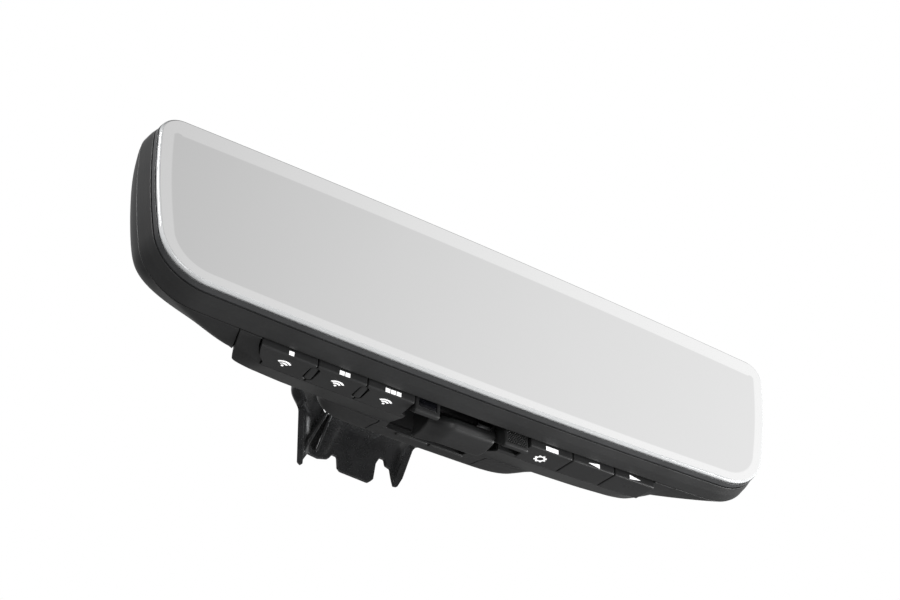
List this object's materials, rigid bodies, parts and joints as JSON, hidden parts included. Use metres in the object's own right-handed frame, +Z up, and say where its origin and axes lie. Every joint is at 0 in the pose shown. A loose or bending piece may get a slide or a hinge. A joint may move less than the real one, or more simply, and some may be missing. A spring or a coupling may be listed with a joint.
{
  "type": "interior rearview mirror",
  "caption": "Interior rearview mirror with a tapered display glass, keys and a lever under it, and a ball-jointed arm to a windshield bracket in a cable shroud.",
  "frame": {"origin": "middle of the flat face of the windshield button, where it is bonded to the windshield", "axes": "+X to the driver's right along the mirror, +Y away from the driver through the mirror, +Z up"},
  "size_m": [0.2538, 0.1086, 0.0969],
  "materials": {
    "casing": "fine-grained moulded plastic",
    "lip": "smooth satin lip",
    "gloss_black": "smooth moulded black",
    "mirror": "bright mirror glass",
    "bright_ring": "bright reflective ring",
    "glass": "clear float glass",
    "display": "dark display film",
    "diffuser": "white light guide",
    "lens": "dark tinted lens",
    "steel": "zinc-plated steel",
    "aluminium": "die-cast aluminium",
    "board": "green circuit board",
    "nylon": "natural nylon",
    "connector": "black connector plastic"
  },
  "bodies": {
    "mount": {"windshield_button": "steel", "windshield_bracket": "aluminium", "set_screw": "steel", "arm_screw_1": "steel", "arm_screw_2": "steel", "mount_arm": "gloss_black", "ball_stud": "steel", "cable_shroud": "gloss_black", "shroud_screw_1": "steel", "shroud_screw_2": "steel"},
    "liner": {"ball_liner": "nylon"},
    "ring": {"retaining_ring": "steel"},
    "head": {"front_glass": "mirror", "perimeter_ring": "bright_ring", "rear_glass": "glass", "glass_bezel": "lip", "front_frame": "casing", "lcd_panel": "display", "backlight_diffuser": "diffuser", "display_tray": "aluminium", "main_board": "board", "shield_can": "steel", "rear_housing": "casing", "lower_trim": "casing", "switch_board": "board", "sensor_block": "casing", "sensor_window": "lens", "microphone_grille": "casing", "microphone_capsule": "steel", "lever_pin": "steel", "detent_spring": "steel", "socket_cup": "steel", "harness_connector": "connector", "forward_light_lens": "lens", "board_screw_1": "steel", "board_screw_2": "steel", "board_screw_3": "steel", "board_screw_4": "steel", "socket_screw_1": "steel", "socket_screw_2": "steel", "socket_screw_3": "steel", "socket_screw_4": "steel", "key_switch_1": "connector", "key_switch_2": "connector", "key_switch_3": "connector", "key_switch_4": "connector", "key_switch_5": "connector", "key_switch_6": "connector", "key_divider_1": "casing", "key_divider_2": "casing"},
    "lever": {"dimming_lever": "casing"},
    "home_button_1": {"home_key_1": "casing"},
    "home_button_2": {"home_key_2": "casing"},
    "home_button_3": {"home_key_3": "casing"},
    "menu_button": {"menu_key": "casing"},
    "left_button": {"left_key": "casing"},
    "right_button": {"right_key": "casing"}
  },
  "joints": [
    {"name": "head_pan", "type": "hinge", "parent": "mount", "child": "liner", "pos_m": [0, -0.059, -0.03], "axis": [0, 0, 1], "range_deg": [-18, 18]},
    {"name": "head_roll", "type": "hinge", "parent": "liner", "child": "ring", "pos_m": [0, -0.059, -0.03], "axis": [0, 1, 0], "range_deg": [-5, 5]},
    {"name": "head_tilt", "type": "hinge", "parent": "ring", "child": "head", "pos_m": [0, -0.059, -0.03], "axis": [1, 0, 0], "range_deg": [-12, 12]},
    {"name": "lever_swing", "type": "hinge", "parent": "head", "child": "lever", "pos_m": [0, -0.074, -0.058], "axis": [1, 0, 0], "range_deg": [0, 14]},
    {"name": "home_key_1_press", "type": "hinge", "parent": "head", "child": "home_button_1", "pos_m": [-0.067, -0.0784, -0.06886], "axis": [-1, 0, 0], "range_deg": [0, 3], "stiffness_Nm_per_rad": 0.5, "springref_deg": -1.15},
    {"name": "home_key_2_press", "type": "hinge", "parent": "head", "child": "home_button_2", "pos_m": [-0.0484, -0.0784, -0.06925], "axis": [-1, 0, 0], "range_deg": [0, 3], "stiffness_Nm_per_rad": 0.5, "springref_deg": -1.15},
    {"name": "home_key_3_press", "type": "hinge", "parent": "head", "child": "home_button_3", "pos_m": [-0.0309, -0.0784, -0.06951], "axis": [-1, 0, 0], "range_deg": [0, 3], "stiffness_Nm_per_rad": 0.5, "springref_deg": -1.15},
    {"name": "menu_key_press", "type": "hinge", "parent": "head", "child": "menu_button", "pos_m": [0.03135, -0.0784, -0.0695], "axis": [-1, 0, 0], "range_deg": [0, 3], "stiffness_Nm_per_rad": 0.5, "springref_deg": -1.15},
    {"name": "left_key_press", "type": "hinge", "parent": "head", "child": "left_button", "pos_m": [0.04895, -0.0784, -0.06924], "axis": [-1, 0, 0], "range_deg": [0, 3], "stiffness_Nm_per_rad": 0.5, "springref_deg": -1.15},
    {"name": "right_key_press", "type": "hinge", "parent": "head", "child": "right_button", "pos_m": [0.0666, -0.0784, -0.06887], "axis": [-1, 0, 0], "range_deg": [0, 3], "stiffness_Nm_per_rad": 0.5, "springref_deg": -1.15}
  ]
}
